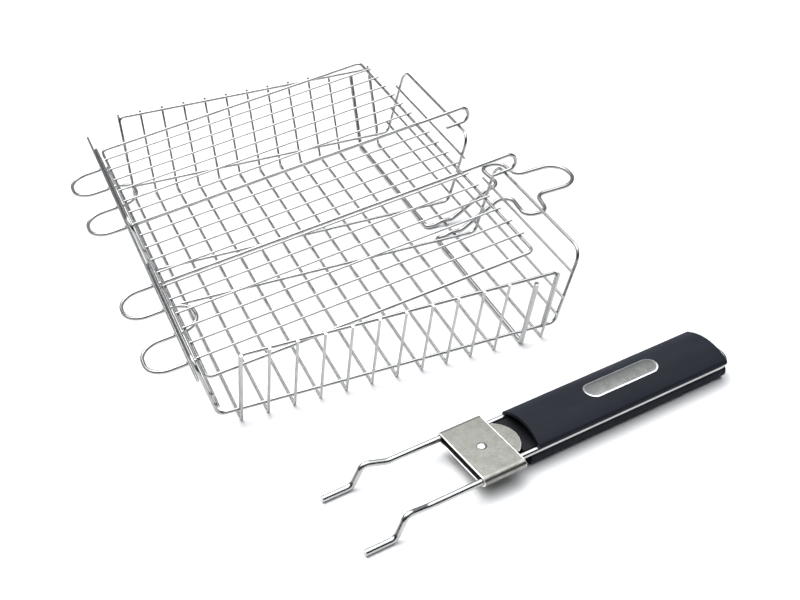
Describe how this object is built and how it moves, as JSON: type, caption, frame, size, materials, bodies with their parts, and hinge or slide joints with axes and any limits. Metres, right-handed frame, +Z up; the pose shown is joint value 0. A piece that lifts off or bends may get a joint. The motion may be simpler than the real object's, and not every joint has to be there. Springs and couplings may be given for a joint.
{
  "type": "grill basket",
  "caption": "Wire grill basket with flared walls, a hinged wire lid and a separate fork handle with a soft grip and sliding lock sleeve.",
  "frame": {"origin": "centre of the bottom of the box round the basket and its handle, on the floor they lie on", "axes": "+X from the basket's hinge end to its handle loop, +Y from the front wall to the back wall, +Z up"},
  "size_m": [0.374, 0.4674, 0.0825],
  "materials": {
    "basket_wire": "bright polished stainless wire",
    "handle_wire": "bright polished stainless wire",
    "grip_plastic": "soft-touch blue-black plastic",
    "core_plastic": "plain dark plastic",
    "screw_steel": "zinc plated",
    "inlay_rim": "polished rim",
    "inlay_plate": "fine brushed",
    "sleeve_sheet": "brushed stainless sheet with bright edges",
    "rivet": "bright domed head"
  },
  "bodies": {
    "tray": {"cross_wire_01": "basket_wire", "cross_wire_02": "basket_wire", "cross_wire_03": "basket_wire", "cross_wire_04": "basket_wire", "cross_wire_05": "basket_wire", "cross_wire_06": "basket_wire", "cross_wire_07": "basket_wire", "cross_wire_08": "basket_wire", "cross_wire_09": "basket_wire", "cross_wire_10": "basket_wire", "cross_wire_11": "basket_wire", "cross_wire_13": "basket_wire", "handle_loop_wire": "basket_wire", "front_top_rail": "basket_wire", "back_top_rail": "basket_wire", "front_frame_loop": "basket_wire", "back_frame_loop": "basket_wire", "end_wire_upper_front": "basket_wire", "end_wire_upper_back": "basket_wire", "end_wire_middle": "basket_wire", "end_wire_lower": "basket_wire", "hinge_rail": "basket_wire", "hinge_end_wire_middle": "basket_wire", "hinge_end_wire_lower": "basket_wire"},
    "lid": {"lid_frame": "basket_wire", "lid_wire_01": "basket_wire", "lid_wire_02": "basket_wire", "lid_wire_03": "basket_wire", "lid_wire_04": "basket_wire", "lid_wire_05": "basket_wire", "lid_wire_06": "basket_wire", "lid_wire_07": "basket_wire", "lid_wire_08": "basket_wire", "lid_wire_09": "basket_wire", "lid_wire_10": "basket_wire", "lid_wire_11": "basket_wire", "lid_wire_12": "basket_wire", "lid_wire_13": "basket_wire", "lid_wire_14": "basket_wire", "lid_wire_15": "basket_wire", "lid_wire_16": "basket_wire", "lid_wire_17": "basket_wire", "lid_arm_front": "basket_wire", "lid_arm_back": "basket_wire"},
    "handle": {"handle_wire": "handle_wire", "grip_upper_shell": "grip_plastic", "grip_lower_shell": "grip_plastic", "grip_core": "core_plastic", "grip_screws": "screw_steel", "inlay_rim": "inlay_rim", "inlay_plate": "inlay_plate"},
    "sleeve": {"locking_sleeve": "sleeve_sheet", "thumb_tongue": "sleeve_sheet", "sleeve_rivet": "rivet"}
  },
  "joints": [
    {"name": "lid_hinge", "type": "hinge", "parent": "tray", "child": "lid", "pos_m": [-0.15388, 0.06089, 0.0455], "axis": [0, -1, 0], "range_deg": [0, 65]},
    {"name": "handle_lift", "type": "slide", "parent": "tray", "child": "handle", "axis": [0, 0, 1], "range_m": [0, 0.15]},
    {"name": "sleeve_slide", "type": "slide", "parent": "handle", "child": "sleeve", "axis": [0.9877, 0.1564, 0], "range_m": [-0.036, 0.005]}
  ]
}
